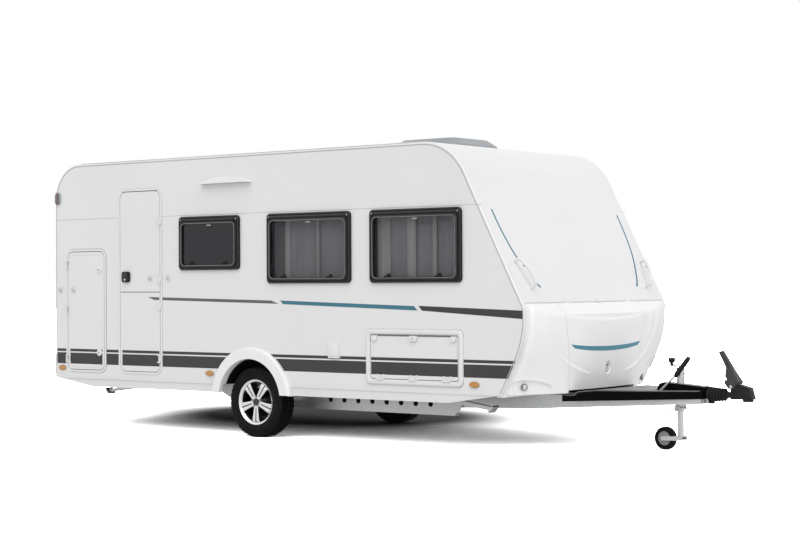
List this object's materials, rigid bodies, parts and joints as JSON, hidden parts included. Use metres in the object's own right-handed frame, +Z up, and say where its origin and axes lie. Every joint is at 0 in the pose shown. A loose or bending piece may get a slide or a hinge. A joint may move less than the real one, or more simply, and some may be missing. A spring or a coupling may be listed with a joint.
{
  "type": "single-axle travel caravan",
  "caption": "White travel caravan with sloping front, lifting gas locker lid, side doors, storage flaps, roof hatches, drawbar and jockey wheel.",
  "frame": {"origin": "on the floor under the middle of the caravan's overall length and width", "axes": "+X forwards to the coupling, +Y to the left side, +Z up"},
  "size_m": [6.6154, 2.21, 2.495],
  "materials": {
    "gelcoat_white": "smooth white sheet",
    "moulded_white": "white moulded plastic",
    "floor_board": "dark sealed board",
    "black_plastic": "satin black",
    "tinted_pane": "tinted acrylic",
    "dome_pane": "smoked acrylic",
    "curtain_cloth": "woven",
    "galvanised": "galvanised",
    "alloy": "machined and lacquered",
    "aluminium_trim": "satin",
    "tyre": "sidewall rubber",
    "rubber": "matt",
    "cast_grey": "painted dark grey",
    "zinc": "zinc plated",
    "amber_lens": "clear amber",
    "red_lens": "clear red"
  },
  "bodies": {
    "caravan": {"awning_lamp": "moulded_white", "axle_tube": "galvanised", "chassis_rails": "galvanised", "coupling_head": "cast_grey", "curtains": "curtain_cloth", "door_frames": "moulded_white", "drawbar": "galvanised", "drawbar_cover": "black_plastic", "floor": "floor_board", "front_moulding": "moulded_white", "front_panel": "gelcoat_white", "grab_handles": "moulded_white", "hinge_brackets": "aluminium_trim", "jockey_tube": "zinc", "locker_bulkhead": "floor_board", "overrun_housing": "cast_grey", "rear_bumper": "moulded_white", "rear_lamps": "red_lens", "rear_wall": "gelcoat_white", "roof": "gelcoat_white", "roof_vent_frames": "moulded_white", "shaft_gaiter": "rubber", "side_fittings": "moulded_white", "side_markers": "amber_lens", "side_skirts": "moulded_white", "side_wall_left": "gelcoat_white", "side_wall_right": "gelcoat_white", "steady_brackets": "galvanised", "trailing_arms": "galvanised", "wheel_arch_trims": "moulded_white", "wheel_wells": "black_plastic", "window_frames": "black_plastic", "window_panes": "tinted_pane"},
    "entrance_upper": {"entrance_door_upper": "gelcoat_white", "entrance_handle": "black_plastic"},
    "entrance_lower": {"entrance_door_lower": "gelcoat_white"},
    "service_hatch": {"service_door": "gelcoat_white", "service_locks": "moulded_white"},
    "storage_lid": {"storage_flap": "gelcoat_white", "flap_latches": "moulded_white"},
    "cassette_lid": {"cassette_flap": "gelcoat_white"},
    "gas_lid": {"gas_locker_lid": "moulded_white"},
    "hatch_dome": {"roof_hatch_dome": "dome_pane"},
    "vent_dome": {"roof_vent_dome": "dome_pane"},
    "road_wheel_right": {"tyre_right": "tyre", "wheel_right": "alloy"},
    "road_wheel_left": {"tyre_left": "tyre", "wheel_left": "alloy"},
    "stabiliser": {"stabiliser_lever": "cast_grey"},
    "handbrake": {"handbrake_lever": "black_plastic"},
    "jockey_spindle": {"jockey_leg": "zinc"},
    "jockey_swivel": {"jockey_fork": "zinc"},
    "jockey_roller": {"jockey_wheel": "rubber"},
    "steady_fr": {"steady_front_right": "galvanised"},
    "steady_fl": {"steady_front_left": "galvanised"},
    "steady_rr": {"steady_rear_right": "galvanised"},
    "steady_rl": {"steady_rear_left": "galvanised"}
  },
  "joints": [
    {"name": "entrance_upper_swing", "type": "hinge", "parent": "caravan", "child": "entrance_upper", "pos_m": [-1.879, -1.082, 1.845], "axis": [0, 0, 1], "range_deg": [0, 175]},
    {"name": "entrance_lower_swing", "type": "hinge", "parent": "caravan", "child": "entrance_lower", "pos_m": [-1.879, -1.082, 0.64], "axis": [0, 0, 1], "range_deg": [0, 175]},
    {"name": "service_swing", "type": "hinge", "parent": "caravan", "child": "service_hatch", "pos_m": [-3.085, -1.082, 1.06], "axis": [0, 0, -1], "range_deg": [0, 175]},
    {"name": "storage_drop", "type": "hinge", "parent": "caravan", "child": "storage_lid", "pos_m": [0.921, -1.082, 0.536], "axis": [1, 0, 0], "range_deg": [0, 165]},
    {"name": "cassette_drop", "type": "hinge", "parent": "caravan", "child": "cassette_lid", "pos_m": [-2.717, 1.082, 0.56], "axis": [-1, 0, 0], "range_deg": [0, 165]},
    {"name": "gas_lid_lift", "type": "hinge", "parent": "caravan", "child": "gas_lid", "pos_m": [1.94997, 0, 1.14], "axis": [0, -1, 0], "range_deg": [0, 75]},
    {"name": "hatch_lift", "type": "hinge", "parent": "caravan", "child": "hatch_dome", "pos_m": [0.815, 0, 2.411], "axis": [0, 1, 0], "range_deg": [0, 50]},
    {"name": "vent_lift", "type": "hinge", "parent": "caravan", "child": "vent_dome", "pos_m": [-1.665, 0.45, 2.411], "axis": [0, 1, 0], "range_deg": [0, 50]},
    {"name": "wheel_right_spin", "type": "hinge", "parent": "caravan", "child": "road_wheel_right", "pos_m": [-0.802, -0.93, 0.298], "axis": [0, 1, 0], "continuous": true},
    {"name": "wheel_left_spin", "type": "hinge", "parent": "caravan", "child": "road_wheel_left", "pos_m": [-0.802, 0.93, 0.298], "axis": [0, 1, 0], "continuous": true},
    {"name": "stabiliser_press", "type": "hinge", "parent": "caravan", "child": "stabiliser", "pos_m": [3.138, 0, 0.505], "axis": [0, -1, 0], "range_deg": [0, 50]},
    {"name": "handbrake_pull", "type": "hinge", "parent": "caravan", "child": "handbrake", "pos_m": [2.533, -0.084, 0.44], "axis": [0, -1, 0], "range_deg": [-24, 44]},
    {"name": "jockey_wind", "type": "slide", "parent": "caravan", "child": "jockey_spindle", "axis": [0, 0, 1], "range_m": [0, 0.145]},
    {"name": "jockey_turn", "type": "hinge", "parent": "jockey_spindle", "child": "jockey_swivel", "pos_m": [2.683, 0, 0.112], "axis": [0, 0, 1], "continuous": true},
    {"name": "jockey_roll", "type": "hinge", "parent": "jockey_swivel", "child": "jockey_roller", "pos_m": [2.551, 0, 0.089], "axis": [0, 1, 0], "continuous": true},
    {"name": "steady_fr_lower", "type": "hinge", "parent": "caravan", "child": "steady_fr", "pos_m": [1.099, -0.85, 0.378], "axis": [0, 1, 0], "range_deg": [0, 42]},
    {"name": "steady_fl_lower", "type": "hinge", "parent": "caravan", "child": "steady_fl", "pos_m": [1.099, 0.85, 0.378], "axis": [0, 1, 0], "range_deg": [0, 42]},
    {"name": "steady_rr_lower", "type": "hinge", "parent": "caravan", "child": "steady_rr", "pos_m": [-2.327, -0.85, 0.378], "axis": [0, -1, 0], "range_deg": [0, 42]},
    {"name": "steady_rl_lower", "type": "hinge", "parent": "caravan", "child": "steady_rl", "pos_m": [-2.327, 0.85, 0.378], "axis": [0, -1, 0], "range_deg": [0, 42]}
  ]
}
